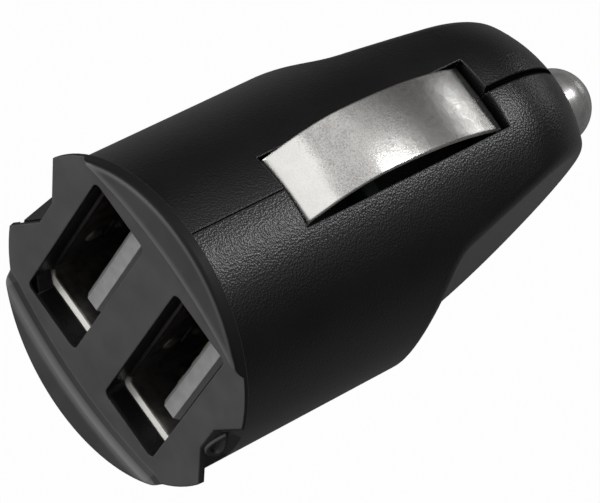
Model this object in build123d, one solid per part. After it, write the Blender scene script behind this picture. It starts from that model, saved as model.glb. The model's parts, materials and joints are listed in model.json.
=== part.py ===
"""Twin-port USB charger plug for a car's 12 V socket.

Millimetres. +Y runs along the plug from the flange to the tip, +Z points to one of the two side
contacts, +X to the half of the housing that carries the face. The origin is on the plug's axis,
in the plane of the flange's back, which stops against the rim of the car's socket.
"""
from build123d import *
import math
import os

# Housing: barrel, nose and flange
barrel_radius = 10.45
flange_lip = 0.78
flange_thickness = 1.0
flange_round = 0.4
dome_start = 26.7
dome_flattening = 0.35
wall = 1.4
nose_wall = 2.3
nose_rim = 0.9
crease_round = 1.3
nose_round = 0.5

# Tapered flats on the two sides of the nose
ramp_start = 16.3
ramp_lead = 0.25
ramp_round = 2.0
knee_along = 19.7
knee_half_width = 7.9
knee_round = 4.0
flat_end_half_width = 4.65

# Split between the two halves
seam_gap = 0.1
cover_gap = 0.15
seat_depth = 0.1
lip_height = 0.6
lip_end_room = 0.6
lip_clearance = 0.05
groove_half = 0.1
groove_depth = 0.35

# Face: sunk middle, ports and pull notches
face_recess = 0.7
face_wall = 1.6
recess_half_middle = 8.2
recess_half_end = 7.15
recess_end_at = 7.8
recess_draft = 40.0
notch_depth = 2.0
notch_floor_half = 1.2
notch_flare = 1.83
notch_run = 1.2
cover_notch_run = 4.2
notch_overrun = 0.05
notch_mouth = 1.0

# USB sockets
port_pitch = barrel_radius / 1.2
port_margin = 0.1
port_end_margin = 0.25
port_round = 0.5
shell_sheet = 0.3
shell_length = 13.2
shell_inside_length = 1.2 * barrel_radius
shell_inside_height = 0.49 * barrel_radius
shell_round = 0.7
shell_flare = 0.25
shell_seat = 0.05
socket_clearance = 0.1
finger_width = 1.9
finger_length = 6.0
finger_gap = 0.35
finger_spread = 5.6
finger_start = 3.2
dimple_radius = 0.8
dimple_top_radius = 0.3
dimple_height = 0.3
tongue_side_room = 0.7
tongue_thickness = 1.6
tongue_setback = 0.9
tongue_tip = 0.3
tongue_offset = 0.7
insulator_base = 3.2
contact_width = 1.0
contact_thickness = 0.25
contact_places = (-3.5, -1.0, 1.0, 3.5)
contact_setback = 0.8
contact_tail = 0.7

# Boards
socket_board_thickness = 1.0
board_clearance = 0.15
main_board_thickness = 1.2
main_board_length = 10.0
main_board_half = 6.1
joint_pin = 0.6
joint_pin_places = (-4.5, -1.5, 1.5, 4.5)
joint_pin_length = 1.5
rib_thickness = 1.0
rib_clearance = 0.05
rib_width = 0.5
rear_rib_inset = 2.5
ledge_width = 0.9

# Tip pin, its spring and the terminal on the board
pin_radius = 2.7
pin_reach = 41.1
pin_clearance = 0.1
collar_radius = 3.5
collar_thickness = 1.4
collar_clearance = 0.15
collar_seat = 0.05
spigot_radius = 2.2
spigot_length = 2.0
tube_wall = 1.0
tube_gap = 0.5
spring_wire = 0.5
spring_mean_radius = 2.8
spring_turns = 5.0
spring_seat = 0.02
spring_sides = 6
terminal_thickness = 0.4
terminal_radius = 3.2
prong_length = 2.0
prong_half_width = 0.9
prong_thickness = 0.35

# Side contacts: a bowed strip in a slot on each side
strip_width = 4.95
strip_sheet = 0.4
slot_clearance = 0.28
slot_front = 8.2
slot_back = 26.1
bow_rise = 2.25
facet_angle = 36.0
facet_length = 1.6
tail_drop = 0.55
strip_bend = 0.5
hook_length = 1.3
hook_width = 2.6
hook_clearance = 0.15
strip_end_gap = 0.35

# Ground tabs that the side contacts wipe
tab_sheet = 0.3
tab_width = 1.0
tab_foot = 0.8
tab_clearance = 0.25
tab_half_width = 1.2
tab_gap = 0.12

# Parts on the main board
inductor_radius = 3.0
inductor_height = 4.2
inductor_flange = 0.8
inductor_waist = 1.5
winding_inset = 0.35
capacitor_radius = 2.5
capacitor_height = 4.6
capacitor_base = 0.9
capacitor_base_margin = 0.15
chip_length = 4.9
chip_width = 3.9
chip_height = 1.5
chip_standoff = 0.15
lead_width = 0.45
lead_sheet = 0.2
leads_a_side = 4
lead_pitch = 1.27
lead_reach = 0.8
diode_length = 4.3
diode_width = 2.4
diode_height = 2.1
diode_bevel = 0.3
fuse_length = 3.2
fuse_width = 1.6
fuse_height = 0.9
resistor_width = 1.25
resistor_height = 0.5
ceramic_size = (1.6, 2.6, 1.1)
inductor_place = 4.65
capacitor_place = 4.75
chip_place = 4.45
diode_inset = 1.4
part_gap = 0.2
small_part_inset = 1.6
resistor_count = 2
ceramic_place = 2.7

# Sizes and places that follow from those above
flange_radius = barrel_radius + flange_lip
notch_floor = barrel_radius - notch_depth
port_length = shell_inside_length + 2 * port_end_margin
port_height = shell_inside_height + 2 * port_margin
tongue_width = shell_inside_length - 2 * tongue_side_room
face_floor = -flange_thickness + face_recess
bay_front = face_floor + face_wall
shell_front = bay_front + shell_seat
shell_back = shell_front + shell_length
socket_board_back = shell_back + socket_board_thickness
board_face = main_board_thickness / 2
main_board_back = socket_board_back + main_board_length
dome_length = barrel_radius - dome_flattening
nose_end_radius = pin_radius + pin_clearance + nose_rim
nose_end = dome_start + dome_length * math.sqrt(1 - (nose_end_radius / barrel_radius) ** 2)
cavity_end = nose_end - nose_wall
collar_end = cavity_end - collar_seat
collar_start = collar_end - collar_thickness
terminal_back = main_board_back + terminal_thickness
tube_start = terminal_back + tube_gap
tube_radius = collar_radius + collar_clearance
inside_radius = barrel_radius - wall
shell_outside_length = shell_inside_length + 2 * shell_sheet
shell_outside_height = shell_inside_height + 2 * shell_sheet
port_places = (-port_pitch / 2, port_pitch / 2)
slot_half = strip_width / 2 + slot_clearance
hook_top = math.sqrt(inside_radius ** 2 - (hook_width / 2) ** 2) - hook_clearance


def across(along):
    """Plane square to the plug's axis: its first direction is +Z, its second +X."""
    return Plane(origin=(0, along, 0), x_dir=(0, 0, 1), z_dir=(0, 1, 0))


def block(x, y, z):
    """Box given by its lowest and highest value on each axis."""
    box = Box(x[1] - x[0], y[1] - y[0], z[1] - z[0])
    return Pos((x[0] + x[1]) / 2, (y[0] + y[1]) / 2, (z[0] + z[1]) / 2) * box


def disc(radius, start, end):
    """Round plate about the plug's axis."""
    return extrude(across(start) * Circle(radius), end - start)


def slab(inset):
    """Everything between the two tapered flats, moved in by inset."""
    slope = (flat_end_half_width - knee_half_width) / (nose_end - knee_along)
    past = dome_length
    corners = [
        (barrel_radius + ramp_lead - inset, -flange_thickness - past),
        (barrel_radius + ramp_lead - inset, ramp_start),
        (knee_half_width - inset, knee_along),
        (flat_end_half_width + slope * past - inset, nose_end + past),
    ]
    right = FilletPolyline(*corners, radius=[ramp_round, knee_round])
    left = mirror(right, Plane.YZ)
    ends = [Line(right @ 0, left @ 0), Line(right @ 1, left @ 1)]
    return extrude(make_face(right.edges() + left.edges() + ends), 2 * barrel_radius, both=True)


def envelope(inset, start, end):
    """The plug's outer form, moved in by inset, from start to end along the axis."""
    radius = barrel_radius - inset
    reach = dome_length - inset
    rise = math.degrees(math.asin((end - dome_start) / reach))
    dome = EllipticalCenterArc((0, dome_start), radius, reach, 0, arc_size=rise)
    outline = [
        Line((0, start), (radius, start)),
        Line((radius, start), dome @ 0),
        dome,
        Line(dome @ 1, (0, end)),
        Line((0, end), (0, start)),
    ]
    return revolve(make_face(outline), Axis.Y) & slab(inset)


def rounded_form():
    """The plug's outer form, its creases rounded off and the seam opened into a groove along the nose."""
    form = envelope(0, 0, nose_end)
    form = fillet(form.edges().group_by(Axis.Y)[-1], nose_round)
    creases = [e for e in form.edges() if e.center().Y > ramp_start and abs(e.center().X) > pin_radius
               and e.length > dome_length / 2]
    form = fillet(creases, crease_round)
    groove = block((-seam_gap - groove_half, groove_half), (slot_back, 2 * nose_end), (-barrel_radius, barrel_radius))
    return form - (groove - envelope(groove_depth, 0, nose_end))


def side_half(positive):
    """Half of space on one side of the seam."""
    reach = 3 * barrel_radius
    if positive:
        return block((0, reach), (-reach, 2 * reach), (-reach, reach))
    return block((-reach, -seam_gap), (-reach, 2 * reach), (-reach, reach))


def hollow():
    """Room inside the housing: the cavity, less the spring's tube, and the sockets' bay."""
    room = envelope(wall, bay_front, cavity_end)
    room -= disc(tube_radius + tube_wall, tube_start, cavity_end)
    room += disc(tube_radius, tube_start, cavity_end)
    room += disc(pin_radius + pin_clearance, cavity_end, nose_end + nose_wall)
    bay = RectangleRounded(
        shell_outside_length + 2 * socket_clearance,
        shell_outside_height + 2 * socket_clearance,
        shell_round,
    )
    for place in port_places:
        room += extrude(across(bay_front) * Pos(0, place) * bay, socket_board_back - bay_front)
    for side in (-1, 1):
        depth = sorted((side * (inside_radius - wall), side * 2 * barrel_radius))
        room += block((-slot_half, slot_half), (slot_front, slot_back), depth)
    return room


def board_supports(side):
    """Ribs and the ledge in one half of the housing that hold the two boards."""
    near = board_face + rib_clearance
    far = inside_radius
    supports = []
    places = (socket_board_back + ledge_width + rib_clearance, main_board_back - rear_rib_inset)
    for along in places:
        for z in (main_board_half - rib_width, -main_board_half):
            x = sorted((side * near, side * far))
            supports.append(block(x, (along, along + rib_thickness), (z, z + rib_width)))
    start = socket_board_back + rib_clearance
    ring = disc(barrel_radius - wall / 2, start, start + ledge_width)
    ring -= disc(inside_radius - ledge_width, start, start + ledge_width)
    x = sorted((side * (slot_half + wall / 2), side * 2 * barrel_radius))
    supports.append(ring & block(x, (start, start + ledge_width), (-barrel_radius, barrel_radius)))
    inside = envelope(wall / 2, bay_front, cavity_end)
    return [support & inside for support in supports]


def flange():
    """Round flange with its rounded front edge and sunk middle."""
    plate = disc(flange_radius, -flange_thickness, 0)
    front = plate.edges().group_by(Axis.Y)[0]
    plate = fillet(front, flange_round)
    width = 2 * flange_radius
    top = ThreePointArc(
        (recess_half_end, -recess_end_at), (recess_half_middle, 0), (recess_half_end, recess_end_at)
    )
    bottom = mirror(top, Plane.YZ)
    sides = [
        Line(top @ 0, bottom @ 0),
        Line(top @ 1, bottom @ 1),
    ]
    floor = make_face(top.edges() + bottom.edges() + sides)
    floor += Rectangle(2 * recess_half_end, width)
    sink = extrude(across(face_floor) * floor, -face_recess, taper=-recess_draft)
    return plate - sink


def pull_notch(side):
    """Wedge cut out of the flange and the barrel's front, to pull the plug by."""
    mouth = flange_radius + notch_mouth
    end = barrel_radius + notch_overrun
    front_half = notch_floor_half + (mouth - notch_floor) * notch_flare
    back_half = notch_floor_half + (mouth - barrel_radius) * notch_flare
    front = Polygon(
        (-notch_floor_half, side * notch_floor), (notch_floor_half, side * notch_floor),
        (front_half, side * mouth), (-front_half, side * mouth), align=None,
    )
    back = Polygon(
        (-notch_floor_half, side * end), (notch_floor_half, side * end),
        (back_half, side * mouth), (-back_half, side * mouth), align=None,
    )
    run = notch_run if side > 0 else cover_notch_run
    return loft([across(-flange_thickness - notch_overrun) * front, across(run) * back])


def seam_lip(side, grow):
    """Straight tongue along the seam, from the flange to the slot."""
    z = sorted((side * (inside_radius - grow), side * (barrel_radius - wall / 2 + grow)))
    y = (bay_front - lip_end_room - grow, slot_front - lip_end_room + grow)
    return block((-lip_height - grow, seam_gap), y, z)


def housing_body(form, room):
    """Half of the housing that carries the flange and the face."""
    half = form & side_half(True)
    body = half - room
    for side in (-1, 1):
        body += seam_lip(side, 0.0)
    body += flange()
    body += disc(inside_radius - lip_clearance, 0, bay_front)
    seat = disc(barrel_radius + cover_gap, -seat_depth, 0) - disc(inside_radius - lip_clearance, -seat_depth, 0)
    body -= seat - side_half(True)
    for support in board_supports(1):
        body += support
    opening = RectangleRounded(port_length, port_height, port_round)
    for place in port_places:
        body -= extrude(across(-flange_thickness) * Pos(0, place) * opening, bay_front + flange_thickness)
    for side in (-1, 1):
        body -= pull_notch(side)
    return body


def housing_cover(form, room):
    """Other half of the housing, held against the body by the lip along its edge."""
    front = block((-2 * barrel_radius, 0), (cover_gap, 2 * nose_end), (-2 * barrel_radius, 2 * barrel_radius))
    half = form & side_half(False) & front
    cover = half - room
    for side in (-1, 1):
        cover -= seam_lip(side, lip_clearance)
    cover -= disc(inside_radius, 0, bay_front)
    for support in board_supports(-1):
        cover += support & block((-2 * barrel_radius, -seam_gap), (0, nose_end), (-barrel_radius, barrel_radius))
    cover -= pull_notch(-1)
    return cover


def socket_shell(place):
    """Folded steel shell of one USB socket, with its sprung fingers."""
    outside = RectangleRounded(shell_outside_length, shell_outside_height, shell_round)
    inside = RectangleRounded(shell_inside_length, shell_inside_height, shell_round - shell_sheet)
    plane = across(shell_front) * Pos(0, place)
    shell = extrude(plane * outside, shell_length)
    shell -= extrude(plane * inside, shell_length)
    mouth = shell.faces().sort_by(Axis.Y)[0].inner_wires()[0].edges()
    ends = mouth.filter_by(Axis.X)
    shell = chamfer(ends, shell_flare)
    start = shell_front + finger_start
    for z in (-finger_spread / 2, finger_spread / 2):
        half = finger_width / 2
        through = (place - shell_outside_height, place + shell_outside_height)
        shell -= block(through, (start, start + finger_length), (z - half - finger_gap, z - half))
        shell -= block(through, (start, start + finger_length), (z + half, z + half + finger_gap))
        shell -= block(through, (start, start + finger_gap), (z - half, z + half))
        for side in (-1, 1):
            root = place + side * (shell_inside_height + shell_sheet) / 2
            height = dimple_height + shell_sheet / 2
            spot = Plane(origin=(root, start + 2 * finger_gap + dimple_radius, z), z_dir=(-side, 0, 0))
            shell += spot * Cone(dimple_radius, dimple_top_radius, height, align=(Align.CENTER, Align.CENTER, Align.MIN))
    return shell


def contact_strips(place, grow=0.0):
    """The four contact blades of one socket, from the tongue through the board."""
    face = place + tongue_offset - tongue_thickness / 2
    start = shell_front + tongue_setback + contact_setback
    half = contact_width / 2 + grow
    end = socket_board_back + contact_tail
    return [
        block((face - contact_thickness - grow, face + grow), (start, end), (z - half, z + half))
        for z in contact_places
    ]


def socket_insulator(place):
    """Moulded tongue and base of one socket."""
    base_start = shell_back - insulator_base
    gap = socket_clearance / 2
    base = RectangleRounded(shell_inside_length - 2 * gap, shell_inside_height - 2 * gap, shell_round - shell_sheet)
    part = extrude(across(base_start) * Pos(0, place) * base, shell_back - base_start)
    centre = place + tongue_offset
    tip = shell_front + tongue_setback
    half = tongue_thickness / 2
    tongue = block((centre - half, centre + half), (tip, base_start), (-tongue_width / 2, tongue_width / 2))
    nose = [e for e in tongue.edges().group_by(Axis.Y)[0] if abs(e.center().X - centre) > half / 2]
    part += chamfer(nose, tongue_tip)
    for strip in contact_strips(place):
        part -= strip
    return part


def joint_pins(grow=0.0):
    """Pins that tie the socket board to the main board."""
    half = joint_pin / 2 + grow
    middle = board_face + joint_pin / 2
    start = shell_back - contact_tail
    end = socket_board_back + joint_pin_length
    return [block((middle - half, middle + half), (start, end), (z - half, z + half)) for z in joint_pin_places]


def socket_board():
    """Round board that carries both sockets."""
    board = disc(inside_radius - board_clearance, shell_back, socket_board_back)
    for place in port_places:
        for strip in contact_strips(place, board_clearance / 2):
            board -= strip
    for pin in joint_pins(board_clearance / 3):
        board -= pin
    return board


def main_board():
    """Board along the axis that carries the converter."""
    return block((-board_face, board_face), (socket_board_back, main_board_back), (-main_board_half, main_board_half))


def spring_terminal():
    """Disc that seats the spring, with two prongs that grip the board's end."""
    part = disc(terminal_radius, main_board_back, terminal_back)
    for side in (-1, 1):
        x = sorted((side * board_face, side * (board_face + prong_thickness)))
        part += block(x, (main_board_back - prong_length, main_board_back), (-prong_half_width, prong_half_width))
    return part


def tip_pin():
    """Turned pin with a collar inside the nose and a round end."""
    centre = pin_reach - pin_radius
    outline = [
        Line((0, collar_start - spigot_length), (spigot_radius, collar_start - spigot_length)),
        Line((spigot_radius, collar_start - spigot_length), (spigot_radius, collar_start)),
        Line((spigot_radius, collar_start), (collar_radius, collar_start)),
        Line((collar_radius, collar_start), (collar_radius, collar_end)),
        Line((collar_radius, collar_end), (pin_radius, collar_end)),
        Line((pin_radius, collar_end), (pin_radius, centre)),
        CenterArc((0, centre), pin_radius, 0, 90),
        Line((0, pin_reach), (0, collar_start - spigot_length)),
    ]
    return revolve(make_face(outline), Axis.Y)


def tip_spring():
    """Coil spring between the terminal and the pin's collar."""
    start = terminal_back + spring_wire / 2 + spring_seat
    end = collar_start - spring_wire / 2 - spring_seat
    path = Helix((end - start) / spring_turns, end - start, spring_mean_radius,
                 center=(0, start, 0), direction=(0, 1, 0))
    section = Plane(origin=path @ 0, z_dir=path % 0) * RegularPolygon(spring_wire / 2, spring_sides)
    return sweep(section, path, is_frenet=True)


def bow_tail(crown_end, foot_height, back):
    """Radius and turn of the bow's rear arc, so that its bend ends at back."""
    turn = 0.0
    for _ in range(30):
        run = back - strip_bend * (1 - math.sin(turn)) - crown_end.X
        drop = crown_end.Y - foot_height
        radius = (run ** 2 + drop ** 2) / (2 * drop)
        turn = math.asin(run / radius)
    return radius, turn


def side_contact(side):
    """Bowed strip that presses on the car socket's wall, hooked under the slot at both ends."""
    middle = strip_sheet / 2
    front = slot_front + strip_end_gap
    back = slot_back - strip_end_gap
    low = hook_top - middle
    top = barrel_radius + bow_rise - middle
    foot_height = barrel_radius - middle
    tail_height = foot_height - tail_drop
    rise = math.radians(facet_angle)
    hook = Line((front - hook_length, low), (front - strip_bend, low))
    up = JernArc(hook @ 1, (1, 0), strip_bend, 90)
    riser = Line(up @ 1, (front, foot_height - strip_bend * math.cos(rise)))
    turn = JernArc(riser @ 1, (0, 1), strip_bend, facet_angle - 90)
    slope = Vector(math.cos(rise), math.sin(rise))
    facet = Line(turn @ 1, turn @ 1 + slope * facet_length)
    crown_radius = (top - (facet @ 1).Y) / (1 - math.cos(rise))
    crown = JernArc(facet @ 1, slope, crown_radius, -facet_angle)
    tail_radius, fall = bow_tail(crown @ 1, tail_height, back)
    tail = JernArc(crown @ 1, (1, 0), tail_radius, -math.degrees(fall))
    down = JernArc(tail @ 1, (math.cos(fall), -math.sin(fall)), strip_bend, math.degrees(fall) - 90)
    foot = Line(down @ 1, (back, low + strip_bend))
    out = JernArc(foot @ 1, (0, -1), strip_bend, 90)
    toe = Line(out @ 1, (back + hook_length, low))
    steps = [hook, up, riser, turn, facet, crown, tail, down, foot, out, toe]
    path = Plane.YZ * Wire([step.edge() for step in steps])
    section = Plane(origin=path @ 0, x_dir=(1, 0, 0), z_dir=path % 0) * Rectangle(strip_width, strip_sheet)
    strip = sweep(section, path)
    shoulder = low + strip_bend + middle
    for edge in (-1, 1):
        x = sorted((edge * hook_width / 2, edge * strip_width))
        strip -= block(x, (0, nose_end), (0, shoulder))
    return strip if side > 0 else mirror(strip, Plane.XY)


def ground_tab(side):
    """Bent tab on the main board that a side contact's rear hook wipes."""
    back = slot_back - strip_end_gap + hook_length + tab_gap
    low = tube_radius + tube_wall + tab_clearance
    leg_x = (-board_face - tab_sheet, -board_face)
    tab = block(leg_x, (main_board_back - tab_foot, back + tab_sheet), (low, low + tab_width))
    tab += block((leg_x[0], tab_half_width), (back, back + tab_sheet), (low, hook_top))
    return tab if side > 0 else mirror(tab, Plane.XY)


def inductor():
    """Drum core and its winding, standing on the main board."""
    along = socket_board_back + inductor_place
    middle = -main_board_half / 2
    foot = Plane(origin=(board_face, along, middle), z_dir=(1, 0, 0))
    core = extrude(foot * Circle(inductor_radius), inductor_flange)
    core += extrude(foot * Circle(inductor_waist), inductor_height)
    upper = foot.offset(inductor_height - inductor_flange)
    core += extrude(upper * Circle(inductor_radius), inductor_flange)
    ring = Circle(inductor_radius - winding_inset) - Circle(inductor_waist)
    winding = extrude(foot.offset(inductor_flange) * ring, inductor_height - 2 * inductor_flange)
    return core, winding


def capacitor(side):
    """Aluminium can on its square moulded base."""
    along = socket_board_back + capacitor_place
    middle = side * main_board_half / 2
    foot = Plane(origin=(-board_face, along, middle), z_dir=(-1, 0, 0))
    base_side = 2 * (capacitor_radius + capacitor_base_margin)
    base = Rectangle(base_side, base_side)
    can = extrude(foot * base, capacitor_base)
    can += extrude(foot.offset(capacitor_base) * Circle(capacitor_radius), capacitor_height - capacitor_base)
    return can


def converter_chip():
    """Eight-lead converter chip."""
    along = socket_board_back + chip_place
    middle = main_board_half / 2
    low = board_face + chip_standoff
    chip = block((low, low + chip_height), (along - chip_width / 2, along + chip_width / 2),
                 (middle - chip_length / 2, middle + chip_length / 2))
    for row in (-1, 1):
        edge = along + row * chip_width / 2
        for lead in range(leads_a_side):
            z = middle + (lead - (leads_a_side - 1) / 2) * lead_pitch
            foot_end = edge + row * lead_reach
            y = sorted((edge - row * lead_sheet, foot_end))
            top = board_face + lead_sheet + chip_standoff
            chip += block((board_face, top), y, (z - lead_width / 2, z + lead_width / 2))
    return chip


def chip_part(size, along, middle, side):
    """Small square part lying on one face of the main board: size along Y, along Z, and height."""
    x = sorted((side * board_face, side * (board_face + size[2])))
    return block(x, (along - size[0] / 2, along + size[0] / 2), (middle - size[1] / 2, middle + size[1] / 2))


def blocking_diode():
    """Moulded diode with its two folded feet."""
    along = main_board_back - diode_inset
    middle = main_board_half - rib_width - part_gap - diode_length / 2
    body = chip_part((diode_width, diode_length, diode_height), along, middle, 1)
    return chamfer(body.edges().filter_by(Axis.Y).sort_by(Axis.X)[-2:], diode_bevel)


def build():
    """Name and shape of every piece."""
    form = rounded_form()
    room = hollow()
    pieces = {
        "housing_body": housing_body(form, room),
        "housing_cover": housing_cover(form, room),
        "upper_side_contact": side_contact(1),
        "lower_side_contact": side_contact(-1),
        "upper_ground_tab": ground_tab(1),
        "lower_ground_tab": ground_tab(-1),
        "tip_pin": tip_pin(),
        "tip_spring": tip_spring(),
        "spring_terminal": spring_terminal(),
        "socket_board": socket_board(),
        "main_board": main_board(),
        "board_joint_pins": Compound(joint_pins()),
        "input_capacitor": capacitor(-1),
        "output_capacitor": capacitor(1),
        "converter_chip": converter_chip(),
        "blocking_diode": blocking_diode(),
    }
    for name, place in zip(("left", "right"), port_places):
        pieces[name + "_socket_shell"] = socket_shell(place)
        pieces[name + "_socket_insulator"] = socket_insulator(place)
        pieces[name + "_socket_contacts"] = Compound(contact_strips(place))
    pieces["inductor_core"], pieces["inductor_winding"] = inductor()
    fuse_size = (fuse_width, fuse_length, fuse_height)
    fuse_along = main_board_back - diode_inset
    pieces["board_fuse"] = chip_part(fuse_size, fuse_along, -main_board_half / 2 - part_gap, 1)
    chips_along = main_board_back - small_part_inset
    room = main_board_half - rib_width - prong_half_width - part_gap
    resistor_pitch = room / resistor_count
    resistor_size = (resistor_width, resistor_pitch - part_gap, resistor_height)
    first = rib_width + part_gap + resistor_size[1] / 2 - main_board_half
    places = [first + step * resistor_pitch for step in range(resistor_count)]
    resistors = [chip_part(resistor_size, chips_along, z, -1) for z in places]
    pieces["chip_resistors"] = Compound(resistors)
    pieces["ceramic_capacitor"] = chip_part(ceramic_size, chips_along, ceramic_place, -1)
    return pieces


os.makedirs("parts", exist_ok=True)
for node, shape in build().items():
    export_step(shape, f"parts/{node}.step")
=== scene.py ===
"""Finishes, fine fittings and studio for a twin-port USB charger plug.

Lengths are in metres unless a name or comment says millimetres. +Y runs along the plug to its tip, +Z to the
upper side contact and +X to the half of the housing that carries the face.
"""

import json
import math

import bmesh
import bpy
from mathutils import Matrix, Vector


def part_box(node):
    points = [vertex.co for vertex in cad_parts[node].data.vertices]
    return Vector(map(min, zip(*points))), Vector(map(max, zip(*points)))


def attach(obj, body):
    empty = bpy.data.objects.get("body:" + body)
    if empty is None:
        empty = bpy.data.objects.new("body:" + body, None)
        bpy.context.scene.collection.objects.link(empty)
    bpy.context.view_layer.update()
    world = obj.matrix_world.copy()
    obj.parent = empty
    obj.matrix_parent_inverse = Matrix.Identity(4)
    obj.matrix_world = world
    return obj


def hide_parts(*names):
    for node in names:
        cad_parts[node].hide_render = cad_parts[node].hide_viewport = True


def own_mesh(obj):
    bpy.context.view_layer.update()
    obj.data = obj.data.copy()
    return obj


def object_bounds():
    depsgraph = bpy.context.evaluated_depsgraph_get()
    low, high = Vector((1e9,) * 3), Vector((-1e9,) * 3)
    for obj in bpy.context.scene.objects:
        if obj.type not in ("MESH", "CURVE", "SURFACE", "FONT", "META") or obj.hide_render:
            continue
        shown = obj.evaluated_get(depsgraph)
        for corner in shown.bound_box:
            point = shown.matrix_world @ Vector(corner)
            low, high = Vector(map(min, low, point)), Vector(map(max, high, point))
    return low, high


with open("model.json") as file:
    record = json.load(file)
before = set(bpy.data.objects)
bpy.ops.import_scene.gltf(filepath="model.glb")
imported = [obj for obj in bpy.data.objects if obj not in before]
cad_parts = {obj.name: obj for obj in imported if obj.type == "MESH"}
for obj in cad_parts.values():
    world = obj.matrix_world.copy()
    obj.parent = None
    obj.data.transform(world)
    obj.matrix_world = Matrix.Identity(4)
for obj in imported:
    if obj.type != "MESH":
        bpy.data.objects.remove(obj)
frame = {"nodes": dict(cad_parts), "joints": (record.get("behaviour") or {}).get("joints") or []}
solid_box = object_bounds()
nodes = frame["nodes"]

bl_info = {
    "name": "Twin-port charger plug",
    "version": (1, 0, 0),
    "blender": (4, 5, 0),
    "location": "3D View > Sidebar > Charger",
    "description": "Finishes, fine fittings and studio for a twin-port USB charger plug",
    "category": "Object",
}

mm = 0.001
white = (1.0, 1.0, 1.0, 1.0)
sharp_angle = math.radians(38)

# Places read from the solids
barrel_radius = -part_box("housing_cover")[0].x
board_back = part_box("socket_board")[1].y
spring_low, spring_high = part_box("tip_spring")
winding_low, winding_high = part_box("inductor_winding")

# Places along the plug in millimetres: the flange's back, the end of a side contact's flat front, and the
# start of the groove along the nose
flange_back = -0.02
facet_end = 10.2
groove_start = 26.1

# That groove in millimetres, where shade is painted: where its middle lies beside the axis, and half its
# width
groove_middle = -0.05
groove_half = 0.17

# Crests beside the sunk face, where a highlight is painted and past which shade is painted, in millimetres:
# their distance from the axis, twice the radius of their bend, and how far back along the plug they reach
crest_middle = 8.79
crest_bend = 59.0
crest_level = -0.6

# Marks pressed into the sockets' shells in millimetres, and their profile: share of the radius, and height
mark_depth = 3.6
mark_offset = 2.7
mark_radius = 0.7
shell_thickness = 0.3
mark_profile = (
    (1.00, -0.02),
    (0.97, 0.01),
    (0.75, 0.11),
    (0.45, 0.18),
    (0.15, 0.20),
)

# Ramp of the pull notch in millimetres: how deep it starts, and from where to where it climbs along the plug
notch_depth = 2.0
notch_front = -1.05
notch_back = 1.2

# Pad on that ramp in millimetres: how far it lies up the ramp and aside, and how much one end narrows
pad_rise = 0.40
pad_aside = 0.25
pad_taper = 0.55

# Half width, half depth and height of the pad, in millimetres from its foot to its hollow middle
pad_profile = (
    (1.50, 0.56, -0.06),
    (1.46, 0.54, 0.12),
    (1.36, 0.48, 0.20),
    (0.90, 0.32, 0.20),
    (0.76, 0.24, 0.05),
    (0.30, 0.10, 0.02),
)

# Solder at a socket's blade and at a pin between the boards: half width, half depth and height in millimetres
blade_joint = (
    (0.85, 0.60, -0.01),
    (0.83, 0.58, 0.06),
    (0.66, 0.36, 0.22),
    (0.57, 0.20, 0.42),
    (0.50, 0.10, 0.55),
)
pin_joint = (
    (0.75, 0.75, -0.01),
    (0.72, 0.72, 0.06),
    (0.50, 0.50, 0.25),
    (0.36, 0.36, 0.55),
    (0.20, 0.20, 0.70),
)

# Middles of the blades and pins, in from the ends of their rows
blade_inset = 0.5 * mm
second_blade = 3.0 * mm
pin_inset = 0.3 * mm
pin_count = 4

# Insulating films over the sockets and over the main board: their half widths, where one starts, how far
# behind the socket board the other ends, and their gap to that board
socket_film_half = 3.4 * mm
socket_film_start = 9.0 * mm
board_film_half = 5.0 * mm
board_film_reach = 10.0 * mm
film_gap = 0.1 * mm

# Studio in metres: the floor, the point that the lamps face, and the camera's place and directions
floor_radius = 4.0
floor_gap = 0.02 * mm
lamp_target = Vector((0, 0.016, 0))
camera_place = (0.06156, -0.14269, 0.21326)
camera_right = Vector((0.574, 0.729, 0.3729))
camera_up = Vector((-0.7879, 0.3678, 0.4939))


# Shader values and materials

class Wire:
    """A value in a material's tree. Arithmetic on it adds Math nodes."""

    def __init__(self, finish, socket):
        self.finish = finish
        self.socket = socket

    def math(self, operation, *values):
        return self.finish.node("ShaderNodeMath", {"operation": operation}, dict(enumerate(values)))

    def __add__(self, other):
        return self.math("ADD", self, other)

    def __radd__(self, other):
        return self.math("ADD", other, self)

    def __sub__(self, other):
        return self.math("SUBTRACT", self, other)

    def __rsub__(self, other):
        return self.math("SUBTRACT", other, self)

    def __mul__(self, other):
        return self.math("MULTIPLY", self, other)

    def __rmul__(self, other):
        return self.math("MULTIPLY", other, self)

    def __truediv__(self, other):
        return self.math("DIVIDE", self, other)

    def __pow__(self, other):
        return self.math("POWER", self, other)

    def __mod__(self, other):
        return self.math("FLOORED_MODULO", self, other)

    def __abs__(self):
        return self.math("ABSOLUTE", self)

    def __lt__(self, other):
        return self.math("LESS_THAN", self, other)

    def __gt__(self, other):
        return self.math("GREATER_THAN", self, other)

    def sine(self):
        return self.math("SINE", self)

    def least(self, other):
        return self.math("MINIMUM", self, other)

    def most(self, other):
        return self.math("MAXIMUM", self, other)

    def ease(self, low, high):
        """0 below low, 1 above high, and a smooth rise between them."""
        return self.finish.node("ShaderNodeMapRange", {"interpolation_type": "SMOOTHSTEP"},
                                {"Value": self, "From Min": low, "From Max": high})


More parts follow.
